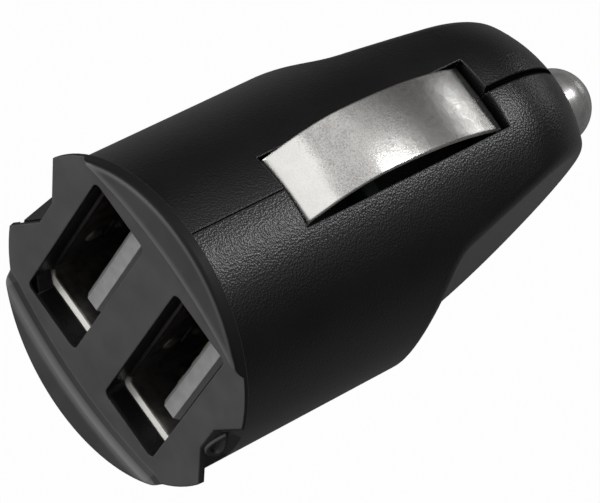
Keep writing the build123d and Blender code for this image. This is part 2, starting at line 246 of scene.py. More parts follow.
class Tree:
    """The nodes of a material or of the sky, emptied and being written."""

    def __init__(self, holder, output):
        holder.use_nodes = True
        self.holder = holder
        self.tree = holder.node_tree
        self.tree.nodes.clear()
        self.output = output

    def node(self, kind, settings, sockets, output=0):
        """Adds a node: settings first, then its sockets' values or links. Gives one output, if it has any."""
        node = self.tree.nodes.new(kind)
        for key, value in settings.items():
            setattr(node, key, value)
        for key, value in sockets.items():
            if isinstance(value, Wire):
                self.tree.links.new(value.socket, node.inputs[key])
            else:
                node.inputs[key].default_value = value
        return Wire(self, node.outputs[output]) if node.outputs else None

    def mix(self, share, first, second):
        """Colour between first and second."""
        first = first if isinstance(first, Wire) else (*first, 1.0)
        second = second if isinstance(second, Wire) else (*second, 1.0)
        return self.node("ShaderNodeMix", {"data_type": "RGBA"}, {0: share, 6: first, 7: second}, 2)

    def done(self, shader):
        """Ends the tree in that shader."""
        self.node(self.output, {}, {"Surface": shader})
        return self.holder


class Finish(Tree):
    """A material, with a point's place on the plug worked out in millimetres."""

    def __init__(self, name):
        super().__init__(bpy.data.materials.new(name), "ShaderNodeOutputMaterial")
        point = self.node("ShaderNodeTexCoord", {}, {}, "Object")
        self.point = self.node("ShaderNodeVectorMath", {"operation": "SCALE"}, {0: point, "Scale": 1 / mm})
        self.x, self.y, self.z = (
            self.node("ShaderNodeSeparateXYZ", {}, {0: self.point}, axis) for axis in "XYZ")

    def noise(self, size, detail=2.0, stretch=(1, 1, 1)):
        """Cloudy value whose spots are about size millimetres across, drawn out by stretch."""
        point = self.node("ShaderNodeVectorMath", {"operation": "DIVIDE"}, {0: self.point, 1: stretch})
        return self.node("ShaderNodeTexNoise", {}, {"Vector": point, "Scale": 1 / size, "Detail": detail})

    def cells(self, size):
        """Distance to the nearest of many points that lie about size millimetres apart."""
        return self.node("ShaderNodeTexVoronoi", {"feature": "F1"}, {"Vector": self.point, "Scale": 1 / size})

    def rounded(self, radius):
        """Surface direction with the sharp edges eased over radius."""
        return self.node("ShaderNodeBevel", {"samples": 6}, {"Radius": radius})

    def level(self, first, second):
        """How far two surface directions agree: 1 if they are the same, 0 at a right angle."""
        return self.node("ShaderNodeVectorMath", {"operation": "DOT_PRODUCT"}, {0: first, 1: second}, "Value")

    def edges(self, rounded):
        """1 along sharp edges, 0 away from them."""
        true = self.node("ShaderNodeNewGeometry", {}, {}, "Normal")
        return (1 - self.level(rounded, true)).ease(0.0, 0.25)

    def sideways(self, low, high):
        """1 where the surface faces along X, easing in as the share of X goes from low to high."""
        true = self.node("ShaderNodeNewGeometry", {}, {}, "Normal")
        return abs(self.level(true, (1, 0, 0))).ease(low, high)

    def relief(self, height, depth, normal=None):
        """Surface direction with a relief of that depth."""
        sockets = {"Strength": 1.0, "Distance": depth, "Height": height}
        if normal is not None:
            sockets["Normal"] = normal
        return self.node("ShaderNodeBump", {}, sockets)

    def shader(self, sockets):
        """Main shader of a finish."""
        return self.node("ShaderNodeBsdfPrincipled", {}, sockets)

    def blend(self, share, first, second):
        """Shader between first and second."""
        return self.node("ShaderNodeMixShader", {}, {0: share, 1: first, 2: second})


def barrel_surface(finish, looks, rounded, rubbed_and_lit_edges):
    """Black plastic with a fine spark grain, and painted shade in the groove along the nose, near-black and
    dull.
    """
    grain_mm = looks.grain_width / mm
    grain = finish.noise(grain_mm, 3.0)
    pits = finish.cells(grain_mm)
    drift = finish.noise(4.0, 3.0)
    tone = finish.mix((0.7 * drift + 0.3 * pits).ease(0.2, 0.8), looks.barrel_dark, looks.barrel_colour)
    # Sharp edges are lightened, partly as real wear and partly as a painted edge highlight.
    open_side = finish.shader({
        "Base Color": finish.mix(0.5 * rubbed_and_lit_edges, tone, looks.wear_and_highlight_colour),
        "Roughness": 0.25 + 0.10 * grain,
        "Specular IOR Level": 0.5,
        "Normal": finish.relief(0.4 * grain + pits, looks.grain_depth, rounded),
    })
    # Painted shade: a near-black, dull shader stands in for the shade inside the groove along the nose.
    hollow = finish.shader({
        "Base Color": (*looks.groove_shade_colour, 1.0),
        "Roughness": 0.95,
        "Specular IOR Level": 0.08,
    })
    from_groove = abs(finish.x - groove_middle)
    groove = (1 - from_groove.ease(groove_half, 2 * groove_half)) * (finish.y > groove_start)
    return finish.blend(groove, open_side, hollow)


def flange_surface(finish, looks, rounded, rubbed_and_lit_edges):
    """Smooth plastic of the flange, with painted shade on its sides and past the crests, and painted
    highlights on the crests and slopes.
    """
    haze = finish.noise(2.5, 5.0)
    fine = finish.noise(0.08, 2.0)
    relief = finish.relief(fine, 0.1 * looks.grain_depth, rounded)
    facing = finish.level(rounded, (0, -1, 0))
    tone = finish.mix(haze.ease(0.3, 0.75), looks.face_dark, looks.face_colour)
    # Painted shade: where the flange turns away from the face it takes the dark shade colour.
    tone = finish.mix(facing.ease(0.5, 0.97), looks.flange_shade, tone)
    # Painted shade: the face darkens a little past the crests.
    past_crest = abs(finish.z) - (crest_middle - finish.x ** 2 / crest_bend)
    tone = finish.mix(0.3 * past_crest.ease(0.3, 0.7), tone, looks.flange_shade)
    # Painted highlight: a light line along the crests beside the sunk face.
    crest = (1 - abs(past_crest).ease(0.05, 0.5)) * (finish.y < crest_level)
    tone = finish.mix(crest, tone, looks.crest_highlight_colour)
    # Painted highlight: slopes half turned from the face are lightened with the edge colour.
    ridge_highlight = facing.ease(0.68, 0.84) * (1 - facing.ease(0.93, 0.99))
    face = finish.shader({
        "Base Color": finish.mix((0.35 * rubbed_and_lit_edges).most(0.7 * ridge_highlight), tone, looks.wear_and_highlight_colour),
        "Roughness": 0.42 + 0.14 * haze,
        "Specular IOR Level": 0.4,
        "Normal": relief,
    })
    # Painted shade: a dark, less glossy copy of the face shader for the flange's sides.
    side = finish.shader({
        "Base Color": finish.mix(0.2 * rubbed_and_lit_edges, looks.flange_shade, looks.wear_and_highlight_colour),
        "Roughness": 0.40 + 0.14 * haze,
        "Specular IOR Level": 0.2,
        "Normal": relief,
    })
    # Painted shade: sides turned away from the face take the shaded copy, except low on the −Z side.
    turned_away = (1 - facing.ease(0.52, 0.74)) * finish.z.ease(-4.0, -1.0)
    return finish.blend(turned_away, face, side)


def moulded_plastic(looks, name, smooth_end):
    """Black plastic: smooth as far as smooth_end along the plug, with a fine spark grain beyond."""
    finish = Finish(name)
    rounded = finish.rounded(looks.edge_round)
    # Sharp edges: lightened partly as real wear and partly as a painted edge highlight.
    rubbed_and_lit_edges = finish.edges(rounded)
    barrel = barrel_surface(finish, looks, rounded, rubbed_and_lit_edges)
    flange = flange_surface(finish, looks, rounded, rubbed_and_lit_edges)
    return finish.done(finish.blend(finish.y < smooth_end, barrel, flange))


def nickel_plate(looks):
    """Nickel plate, mottled by forming and lightly scuffed along the plug."""
    finish = Finish("nickel_plate")
    mottle = finish.noise(0.9, 4.0)
    speckle = finish.noise(0.09, 3.0)
    scuff = finish.noise(0.09, 3.0, (1, 14, 1))
    cut_edge = finish.sideways(0.6, 0.9)
    bowed = finish.y.ease(facet_end - 0.2, facet_end + 0.6)
    tarnish = (0.25 * mottle + 0.75 * speckle).ease(0.43, 0.63) * (0.15 + 0.85 * bowed)
    tone = finish.mix(tarnish, looks.nickel_colour, looks.nickel_dull)
    uneven = mottle + (0.2 + 0.6 * bowed) * speckle + 0.1 * scuff
    return finish.done(finish.shader({
        "Base Color": tone,
        "Metallic": 1.0,
        "Roughness": (0.16 + 0.08 * mottle + 0.08 * speckle).most(0.7 * cut_edge),
        "Normal": finish.relief(uneven, looks.forming_depth, finish.rounded(0.16 * mm)),
    }))


def turned_nickel(looks):
    """Nickel plate over fine turning marks that ring the plug's axis."""
    finish = Finish("turned_nickel")
    mottle = finish.noise(0.7, 5.0)
    rings = (0.5 * finish.y + 0.5 * (finish.x ** 2 + finish.z ** 2) ** 0.5) * 46.0
    marks = 0.5 + 0.5 * (rings + 3 * mottle).sine()
    tone = finish.mix(mottle.ease(0.35, 0.7), looks.pin_colour, looks.pin_dull)
    return finish.done(finish.shader({
        "Base Color": tone,
        "Metallic": 0.6,
        "Roughness": 0.21 + 0.10 * mottle + 0.03 * marks,
        "Normal": finish.relief(marks + 0.6 * mottle, 0.08 * looks.forming_depth, finish.rounded(0.1 * mm)),
    }))


def shell_sheet(looks):
    """Plated sheet of the sockets: bright lips at the end walls, painted shade with stains inside, painted
    highlights on the marks.
    """
    low, high = (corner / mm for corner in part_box("left_socket_shell"))
    finish = Finish("shell_sheet")
    lip_end = low.y + looks.lip_depth / mm
    end_wall = high.z - 2 * shell_thickness
    rolled = finish.noise(0.06, 3.0, (1, 20, 1))
    stain = finish.noise(1.1, 5.0)
    # Painted shade: 1 past the lip, and on the long walls right up to the front.
    inside = (finish.y + 0.1 * stain - 0.05).ease(lip_end - 0.02, lip_end + 0.10)
    inside = inside.most(1 - abs(finish.z).ease(end_wall - shell_thickness, end_wall))
    # Painted highlight: the round marks pressed into the shells are lightened.
    from_mark = ((finish.y - mark_depth) ** 2 + (abs(finish.z) - mark_offset) ** 2) ** 0.5
    mark = 1 - from_mark.ease(0.6 * mark_radius, mark_radius)
    front = 1 - finish.y.ease(lip_end - 0.02, lip_end + 0.10)
    bright = finish.mix(0.3 * stain, looks.shell_colour, looks.lip_dull_and_mark_highlight)
    # Painted shade inside the sockets, with random stains.
    sheet = finish.mix(stain.ease(0.4, 0.7), looks.shell_inside_shade, looks.shell_stain_in_shade)
    sheet = finish.mix(mark, sheet, looks.lip_dull_and_mark_highlight)
    sheet = finish.mix(0.8 * front, sheet, looks.shell_shade)
    return finish.done(finish.shader({
        "Base Color": finish.mix(inside, bright, sheet),
        "Metallic": 1.0,
        "Roughness": (0.24 + 0.10 * rolled + 0.16 * stain).most(0.48 * (1 - inside)),
        "Normal": finish.relief(rolled + 0.5 * stain, 0.002 * mm, finish.rounded(0.06 * mm)),
    }))


def insulating_film(looks):
    """Thin black film, faintly crinkled."""
    finish = Finish("insulating_film")
    crinkle = finish.noise(1.6, 4.0)
    dust = finish.noise(0.12, 3.0)
    return finish.done(finish.shader({
        "Base Color": finish.mix(0.5 * dust, looks.film_colour, looks.package_colour),
        "Roughness": 0.45 + 0.3 * crinkle,
        "Specular IOR Level": 0.25,
        "Normal": finish.relief(crinkle + 0.1 * dust, 0.05 * mm),
    }))


def sheet_steel(name, bright, dull, depth):
    """Rolled sheet or drawn wire, its grain along the plug."""
    finish = Finish(name)
    rolled = finish.noise(0.06, 3.0, (1, 20, 1))
    stain = finish.noise(1.1, 5.0)
    tone = finish.mix(stain.ease(0.4, 0.75), bright, dull)
    return finish.done(finish.shader({
        "Base Color": tone,
        "Metallic": 1.0,
        "Roughness": 0.22 + 0.12 * rolled + 0.12 * stain,
        "Normal": finish.relief(rolled, depth, finish.rounded(0.06 * mm)),
    }))


def tongue_plastic(looks):
    """Pale moulded plastic of the sockets' tongues, dusty and a little uneven, with painted shade on their
    flat sides.
    """
    finish = Finish("tongue_plastic")
    cloud = finish.noise(0.8, 4.0)
    specks = finish.cells(0.22).ease(0.0, 0.35)
    tone = finish.mix(cloud.ease(0.3, 0.7), looks.tongue_colour, looks.tongue_dull)
    # Painted shade on the tongues' flat sides, which face along X.
    tone = finish.mix(finish.sideways(0.5, 0.9), tone, looks.tongue_flank)
    return finish.done(finish.shader({
        "Base Color": finish.mix(0.15 * (1 - specks), tone, looks.tongue_dull),
        "Roughness": 0.5 + 0.2 * cloud,
        "Specular IOR Level": 0.4,
        "Normal": finish.relief(cloud, 0.001 * mm, finish.rounded(0.1 * mm)),
    }))


def gold_plate(looks):
    """Thin gold plate, rubbed paler where a plug slides."""
    finish = Finish("gold_plate")
    rub = finish.noise(0.07, 3.0, (1, 16, 1))
    stain = finish.noise(0.6, 4.0)
    tone = finish.mix(stain.ease(0.45, 0.8), looks.gold_colour, looks.gold_dull)
    return finish.done(finish.shader({
        "Base Color": tone,
        "Metallic": 1.0,
        "Roughness": 0.2 + 0.2 * rub,
        "Normal": finish.relief(rub, 0.001 * mm, finish.rounded(0.05 * mm)),
    }))


def solder_mask(looks):
    """Green lacquer over copper runs, with bare woven edges."""
    finish = Finish("solder_mask")
    row_pitch = 1.6
    column_pitch = 1.9
    board_rim = 8.6
    threads = 18
    along = abs(finish.y % row_pitch - row_pitch / 2).ease(0.30, 0.36)
    wave = 0.6 * (finish.y * 0.7).sine()
    across = abs((finish.z + wave) % column_pitch - column_pitch / 2).ease(0.34, 0.40)
    runs = along.least(across)
    rim = ((finish.x ** 2 + finish.z ** 2) ** 0.5).ease(board_rim, board_rim + 0.1)
    warp = (finish.x * threads).sine() * (finish.z * threads).sine()
    weave = (warp + (finish.y * threads).sine()) * 0.25 + 0.5
    cloud = finish.noise(1.5, 4.0)
    tone = finish.mix(runs, looks.mask_colour, looks.mask_over_copper)
    tone = finish.mix(0.25 * weave, tone, looks.mask_colour)
    return finish.done(finish.shader({
        "Base Color": finish.mix((0.4 * cloud).most(rim), tone, looks.mask_colour),
        "Roughness": 0.26 + 0.18 * cloud + 0.5 * rim,
        "Specular IOR Level": 0.5,
        "Normal": finish.relief(runs + 0.1 * weave, 0.02 * mm, finish.rounded(0.05 * mm)),
    }))


def solder(looks):
    """Bright tin solder, dull in patches."""
    finish = Finish("solder")
    grain = finish.noise(0.18, 5.0)
    tone = finish.mix(grain.ease(0.4, 0.7), looks.solder_colour, looks.solder_dull)
    return finish.done(finish.shader({
        "Base Color": tone,
        "Metallic": 1.0,
        "Roughness": 0.2 + 0.3 * grain,
        "Normal": finish.relief(grain, 0.006 * mm),
    }))


def chip_package(looks):
    """Moulded package with a pin mark, above its tinned leads."""
    low, high = (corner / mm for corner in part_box("converter_chip"))
    finish = Finish("chip_package")
    lead_reach = 0.8
    mark_inset = 0.7
    middle = (low.y + high.y) / 2
    half_body = (high.y - low.y) / 2 - lead_reach
    lead = abs(finish.y - middle) > half_body + 0.01
    mark_y = middle - half_body + mark_inset
    mark_z = low.z + mark_inset
    from_mark = ((finish.y - mark_y) ** 2 + (finish.z - mark_z) ** 2) ** 0.5
    mark = (1 - from_mark.ease(0.28, 0.34)) * (finish.x > high.x - 0.05)
    grain = finish.noise(0.05, 3.0)
    tone = finish.mix(mark, looks.package_colour, looks.package_mark)
    return finish.done(finish.shader({
        "Base Color": finish.mix(lead, tone, looks.solder_colour),
        "Metallic": lead,
        "Roughness": (0.5 + 0.2 * grain) * (1 - lead) + 0.3 * lead,
        "Normal": finish.relief(grain - 6 * mark, 0.006 * mm, finish.rounded(0.08 * mm)),
    }))


def tinned_part(name, node, count, bright, dull, cap_mm, looks):
    """Small part with tinned ends, or a row of count such parts along Z."""
    low, high = (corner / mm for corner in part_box(node))
    finish = Finish(name)
    gap = 0.2 if count > 1 else 0.0
    pitch = (high.z - low.z + gap) / count
    from_end = (finish.z - low.z) % pitch
    far_cap = pitch - gap - cap_mm
    tinned = (from_end < cap_mm).most(from_end > far_cap)
    grain = finish.noise(0.09, 4.0)
    tone = finish.mix(grain.ease(0.3, 0.7), bright, dull)
    return finish.done(finish.shader({
        "Base Color": finish.mix(tinned, tone, looks.solder_colour),
        "Metallic": tinned,
        "Roughness": 0.34 + 0.25 * grain,
        "Normal": finish.relief(grain + 0.8 * tinned, 0.01 * mm, finish.rounded(0.07 * mm)),
    }))


def diode_package(looks):
    """Moulded diode with a pale band at one end and tinned feet below its shoulders."""
    low, high = (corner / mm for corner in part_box("blocking_diode"))
    finish = Finish("diode_package")
    band = (finish.z > high.z - 0.9) * (finish.z < high.z - 0.45) * (finish.x > low.x + 1.2)
    foot = (finish.z < low.z + 0.02).most(finish.z > high.z - 0.02) * (finish.x < low.x + 0.9)
    grain = finish.noise(0.06, 3.0)
    tone = finish.mix(band, looks.package_colour, looks.package_mark)
    return finish.done(finish.shader({
        "Base Color": finish.mix(foot, tone, looks.solder_colour),
        "Metallic": foot,
        "Roughness": 0.45 + 0.25 * grain,
        "Normal": finish.relief(grain + band, 0.005 * mm, finish.rounded(0.08 * mm)),
    }))


def pressed_ferrite(looks):
    """Pressed ferrite, matte and speckled."""
    finish = Finish("pressed_ferrite")
    specks = finish.cells(0.12)
    cloud = finish.noise(0.7, 4.0)
    tone = finish.mix((0.5 * specks + 0.5 * cloud).ease(0.25, 0.7), looks.ferrite_dark, looks.ferrite_colour)
    return finish.done(finish.shader({
        "Base Color": tone,
        "Roughness": 0.55 + 0.25 * cloud,
        "Normal": finish.relief(specks + cloud, 0.012 * mm, finish.rounded(0.12 * mm)),
    }))


def enamelled_copper(looks):
    """Copper wire under a thin amber enamel."""
    finish = Finish("enamelled_copper")
    tint = finish.noise(0.5, 4.0)
    tone = finish.mix(tint.ease(0.35, 0.7), looks.copper_colour, looks.copper_dark)
    return finish.done(finish.shader({
        "Base Color": tone,
        "Metallic": 0.85,
        "Roughness": 0.25 + 0.15 * tint,
        "Coat Weight": 0.5 + 0.3 * tint,
        "Normal": finish.relief(tint, 0.004 * mm),
    }))


def capacitor_can(node, looks):
    """Bright can on a black base, its top scored in a cross and printed with a dark half-moon."""
    low, high = (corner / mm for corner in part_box(node))
    finish = Finish(node + "_can")
    base_height = 0.92
    across_y = finish.y - (low.y + high.y) / 2
    across_z = finish.z - (low.z + high.z) / 2
    on_base = finish.x > high.x - base_height
    on_top = finish.x < low.x + 0.05
    score = on_top * (1 - (abs(across_y).least(abs(across_z))).ease(0.06, 0.12))
    moon = on_top * (across_z > 1.1)
    turned = finish.noise(0.05, 3.0, (18, 1, 1))
    tone = finish.mix(moon.most(on_base), looks.can_colour, looks.package_colour)
    return finish.done(finish.shader({
        "Base Color": finish.mix(0.5 * score, tone, looks.package_colour),
        "Metallic": (1 - on_base) * (1 - moon),
        "Roughness": 0.24 + 0.2 * turned + 0.25 * on_base,
        "Normal": finish.relief(turned - 8 * score, 0.004 * mm, finish.rounded(0.15 * mm)),
    }))


# Mesh forms

def skin(mesh, rings):
    """Joins rings of points into a skin and closes its two ends."""
    rows = [[mesh.verts.new(point) for point in ring] for ring in rings]
    count = len(rows[0])
    for near, far in zip(rows, rows[1:]):
        for i in range(count):
            j = (i + 1) % count
            mesh.faces.new((near[i], near[j], far[j], far[i]))
    mesh.faces.new(list(reversed(rows[0])))
    mesh.faces.new(rows[-1])


def coil(mesh, centre, axis, first, radius, wire, rises, steps, sides):
    """Round wire wound about an axis: it climbs through rises, one to each step of its turn."""
    second = axis.cross(first)
    rings = []
    for i, rise in enumerate(rises):
        angle = 2 * math.pi * i / steps
        out = math.cos(angle) * first + math.sin(angle) * second
        middle = centre + rise * axis + radius * out
        ring = []
        for k in range(sides):
            turn = 2 * math.pi * k / sides
            ring.append(middle + wire / 2 * (math.cos(turn) * out + math.sin(turn) * axis))
        rings.append(ring)
    skin(mesh, rings)


def mound(mesh, base, axis, first, profile, sides=20):
    """Turned or oval form standing on base: profile gives its two half widths at each height."""
    second = axis.cross(first)
    rings = []
    for wide, deep, height in profile:
        ring = []
        for k in range(sides):
            turn = 2 * math.pi * k / sides
            ring.append(base + height * axis + wide * math.cos(turn) * first + deep * math.sin(turn) * second)
        rings.append(ring)
    skin(mesh, rings)


def scaled(profile):
    """Profile in metres from one in millimetres."""
    return [tuple(size * mm for size in row) for row in profile]


def thumb_mark(mesh):
    """Drop-shaped pad with a hollow middle on the ramp of the pull notch."""
    low = Vector((barrel_radius - notch_depth * mm, notch_front * mm, 0))
    high = Vector((barrel_radius, notch_back * mm, 0))
    slope = (high - low).normalized()
    out = Vector((slope.y, -slope.x, 0))
    across = Vector((0, 0, 1))
    middle = (low + high) / 2 + pad_rise * mm * slope - pad_aside * mm * across
    sides = 36
    rings = []
    for wide, deep, height in scaled(pad_profile):
        ring = []
        for k in range(sides):
            turn = 2 * math.pi * k / sides
            narrow = deep * (1 - pad_taper * math.cos(turn))
            aside = wide * math.cos(turn) * across - narrow * math.sin(turn) * slope
            ring.append(middle + height * out + aside)
        rings.append(ring)
    skin(mesh, rings)


def flange_root(mesh, radius, side):
    """Hollow fillet between the flange and the barrel, from beside the pull notch to the seam."""
    start = math.radians(19)
    end = math.radians(89)
    fade = math.radians(4)
    steps = 60
    bends = 6
    sunk = 0.02 * mm
    along = Vector((0, 1, 0))
    rings = []
    for i in range(steps + 1):
        angle = start + (end - start) * i / steps
        size = radius * min(1.0, 0.15 + (angle - start) / fade)
        out = Vector((math.cos(angle), 0, side * math.sin(angle)))
        corner = (barrel_radius - sunk) * out - sunk * along
        centre = corner + (size + sunk) * (out + along)
        ring = [corner, corner + (size + sunk) * out]
        for k in range(bends + 1):
            turn = math.pi / 2 * k / bends
            ring.append(centre - size * (math.sin(turn) * out + math.cos(turn) * along))
        ring.append(corner + (size + sunk) * along)
        rings.append(ring)
    skin(mesh, rings)


def crown(mesh, half, fall):
    """Rolls a strip off a little from its middle to its two long edges."""
    weld = 0.0005 * mm
    bands = 14
    bmesh.ops.remove_doubles(mesh, verts=mesh.verts, dist=weld)
    for k in range(1, bands):
        everything = mesh.verts[:] + mesh.edges[:] + mesh.faces[:]
        place = (half * (2 * k / bands - 1), 0, 0)
        bmesh.ops.bisect_plane(mesh, geom=everything, plane_co=place, plane_no=(1, 0, 0))
    for vert in mesh.verts:
        vert.co.z -= fall * (vert.co.x / half) ** 2


def film(mesh, side, height, half, start, end):
    """Strip of film that keeps a side contact off what lies under it, with a lifted rim."""
    steps = 24
    thickness = 0.08 * mm
    rim_lift = 0.12 * mm
    clearance = 0.02 * mm
    end_strip = 0.2 * mm
    rings = []
    for along in (start, start + end_strip, end - end_strip, end):
        top = []
        under = []
        for k in range(steps + 1):
            share = 2 * k / steps - 1
            level = side * (height + rim_lift * share ** 8 + clearance)
            under.append(Vector((share * half, along, level)))
            top.append(Vector((share * half, along, level + side * thickness)))
        rings.append(under + list(reversed(top)))
    skin(mesh, rings)


def add_piece(name, mesh, material, body):
    """Puts a new mesh into the scene as a piece that rides on a body."""
    bmesh.ops.recalc_face_normals(mesh, faces=mesh.faces)
    for face in mesh.faces:
        face.smooth = True
    for edge in mesh.edges:
        if edge.is_manifold and edge.calc_face_angle() > sharp_angle:
            edge.smooth = False
    data = bpy.data.meshes.new(name)
    mesh.to_mesh(data)
    mesh.free()
    data.materials.append(material)
    piece = bpy.data.objects.new(name, data)
    bpy.context.scene.collection.objects.link(piece)
    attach(piece, body)
    return piece


def paint(names, material):
    """Gives CAD nodes their finish."""
    for name in names:
        node = nodes[name]
        if not node.material_slots:
            raise RuntimeError(f"{name} has no material slot")
        for slot in node.material_slots:
            slot.material = material


# Settings

def colour(name, description, default):
    """Setting for a colour."""
    return bpy.props.FloatVectorProperty(name=name, description=description, subtype="COLOR", size=3,
                                         min=0.0, max=1.0, default=default)


def length(name, description, default):
    """Setting for a length in metres."""
    return bpy.props.FloatProperty(name=name, description=description, unit="LENGTH", precision=6,
                                   default=default)


def part_of_white(name, description, default):
    """Setting for a share from 0 to 1."""
    return bpy.props.FloatProperty(name=name, description=description, subtype="FACTOR", min=0.0, max=1.0,
                                   default=default)


def power(name, description, default):
    """Setting for a lamp's power in watts."""
    return bpy.props.FloatProperty(name=name, description=description, unit="POWER", default=default)


class HousingLooks(bpy.types.PropertyGroup):
    """Moulded housing."""

    barrel_colour: colour("Barrel", "Colour of the grained plastic", (0.008, 0.008, 0.0082))
    barrel_dark: colour("Barrel, dark", "Colour in the hollows of the grain", (0.004, 0.004, 0.0045))
    # Painted shade: colour that stands in for the shade inside the groove along the nose.
    groove_shade_colour: colour("Groove", "Colour of the groove along the nose", (0.001, 0.001, 0.001))
    face_colour: colour("Face", "Colour of the smooth flange and face", (0.148, 0.148, 0.149))
    face_dark: colour("Face, dark", "Darker drift of the flange and face", (0.116, 0.116, 0.117))
    # Painted highlight: colour of the light line along the crests.
    crest_highlight_colour: colour("Crest", "Crests on both sides of the sunk face", (0.225, 0.225, 0.227))
    # Painted shade: colour of the flange's sides and of the face past the crests.
    flange_shade: colour("Flange side", "Colour of the flange's sides", (0.012, 0.012, 0.0122))
    # Lightens sharp edges, partly as real wear and partly as a painted highlight, and the flange's
    # half-turned slopes.
    wear_and_highlight_colour: colour("Worn edge", "Colour of rubbed edges", (0.15, 0.15, 0.152))
    grain_width: length("Grain width", "Distance between two grains of the barrel's surface", 0.14 * mm)
    grain_depth: length("Grain depth", "Depth of the barrel's grain", 0.016 * mm)
    edge_round: length("Edge round", "Radius over which sharp edges look eased", 0.16 * mm)
    root_round: length("Flange root", "Radius of the fillet between flange and barrel", 0.32 * mm)


class MetalLooks(bpy.types.PropertyGroup):
    """Plated and plain metals."""

    nickel_colour: colour("Nickel", "Bright nickel plate", (0.80, 0.79, 0.765))
    nickel_dull: colour("Nickel, dull", "Dull patches of the nickel plate", (0.50, 0.49, 0.478))
    pin_colour: colour("Pin", "Bright plate of the turned tip", (0.52, 0.515, 0.507))
    pin_dull: colour("Pin, dull", "Dull patches of the turned tip", (0.40, 0.396, 0.39))
    strip_crown: length("Strip crown", "Fall of the side contacts from middle to edges", 0.11 * mm)
    shell_colour: colour("Shell lip", "Plated lip of the sockets", (0.97, 0.955, 0.91))
    # Dull patches of the lip, and also the painted highlight on the marks pressed into the shells.
    lip_dull_and_mark_highlight: colour("Shell lip, dull", "Dull plate of the sockets' lip", (0.74, 0.72, 0.68))
    # Painted shade: the next two colours darken the sockets' inside, with random stains.
    shell_inside_shade: colour("Shell inside", "Dull sheet inside the sockets", (0.42, 0.41, 0.40))
    shell_stain_in_shade: colour("Shell stain", "Stained sheet inside the sockets", (0.20, 0.19, 0.18))
    shell_shade: colour("Shell front", "Shaded front edge of the shells' long walls", (0.05, 0.048, 0.045))
    lip_depth: length("Lip depth", "Depth of the bright lip of a socket", 0.36 * mm)
    steel_colour: colour("Steel", "Spring wire, tabs and terminal", (0.58, 0.575, 0.57))
    steel_dull: colour("Steel, dull", "Dull steel", (0.40, 0.395, 0.39))
    gold_colour: colour("Gold", "Plate of the contact blades", (0.86, 0.66, 0.30))
    gold_dull: colour("Gold, dull", "Rubbed plate of the contact blades", (0.70, 0.55, 0.30))
    forming_depth: length("Forming marks", "Depth of the marks that forming left in the nickel", 0.006 * mm)


class BoardLooks(bpy.types.PropertyGroup):
    """Boards and the parts on them."""

    tongue_colour: colour("Tongue", "Moulded tongues of the sockets", (0.75, 0.75, 0.755))
    # Random darker cloud and dust specks on the tongues.
    tongue_dull: colour("Tongue, dull", "Shaded plastic of the tongues", (0.64, 0.64, 0.645))
    tongue_flank: colour("Tongue flank", "Shaded flat sides of the tongues", (0.22, 0.22, 0.222))
    mask_colour: colour("Lacquer", "Dark green lacquer of the boards", (0.002, 0.008, 0.005))
    mask_over_copper: colour("Lacquer on copper", "Lacquer where copper lies under it", (0.004, 0.015, 0.008))
    film_colour: colour("Film", "Insulating film under the side contacts", (0.006, 0.006, 0.0065))
    solder_colour: colour("Solder", "Bright solder and tinned ends", (0.74, 0.74, 0.75))
    solder_dull: colour("Solder, dull", "Dull solder", (0.50, 0.50, 0.52))
    package_colour: colour("Package", "Black moulded packages", (0.020, 0.020, 0.021))
    package_mark: colour("Package mark", "Pin mark and band", (0.35, 0.35, 0.36))
    fuse_colour: colour("Fuse", "Body of the fuse", (0.46, 0.44, 0.38))
    fuse_dull: colour("Fuse, dull", "Darker drift of the fuse's body", (0.33, 0.31, 0.26))
    ceramic_colour: colour("Ceramic", "Body of the ceramic capacitor", (0.42, 0.29, 0.17))
    ceramic_dull: colour("Ceramic, dull", "Darker drift of the ceramic", (0.30, 0.20, 0.11))
    ferrite_colour: colour("Ferrite", "Inductor core", (0.085, 0.083, 0.085))
    ferrite_dark: colour("Ferrite, dark", "Pits of the inductor core", (0.04, 0.04, 0.042))
    copper_colour: colour("Copper", "Enamelled wire", (0.70, 0.30, 0.13))
    copper_dark: colour("Copper, dark", "Thicker enamel", (0.42, 0.15, 0.06))
    can_colour: colour("Can", "Aluminium cans", (0.78, 0.78, 0.79))


class CoilSizes(bpy.types.PropertyGroup):
    """Wound parts."""

    spring_wire: length("Spring wire", "Thickness of the tip spring's wire", 0.5 * mm)
    spring_turns: bpy.props.IntProperty(name="Spring turns", description="Open turns of the tip spring",
                                        default=4, min=2, max=12)
    winding_wire: length("Winding wire", "Thickness of the inductor's wire", 0.26 * mm)


class StudioLooks(bpy.types.PropertyGroup):
    """Floor, light and camera."""

    floor_colour: colour("Floor", "Pale floor", (0.17, 0.17, 0.17))
    floor_glow: part_of_white("Floor white", "Share of plain white in the seen floor", 0.985)
    mirrored_glow: part_of_white("Mirrored white", "Share of plain white in the mirrored floor", 0.05)
    sky_colour: colour("Sky overhead", "Light from straight above", (0.66, 0.66, 0.66))
    rim_colour: colour("Sky at the rim", "Light from the horizon", (0.075, 0.075, 0.075))
    front_power: power("Front lamp", "Power of the lamp on the face's side", 0.108)
    back_power: power("Back lamp", "Power of the lamp above the tip's side", 0.28)
    strip_power: power("Strip lamp", "Power of the small lamp mirrored in the side contact", 0.006)
    side_power: power("Side lamp", "Power of the lamp beside the face", 0.90)
    low_power: power("Low lamp", "Power of the low lamp beyond the tip", 0.056)
    focal_length: bpy.props.FloatProperty(name="Lens", description="Focal length in millimetres",
                                          unit="CAMERA", default=252.0)


# Operators

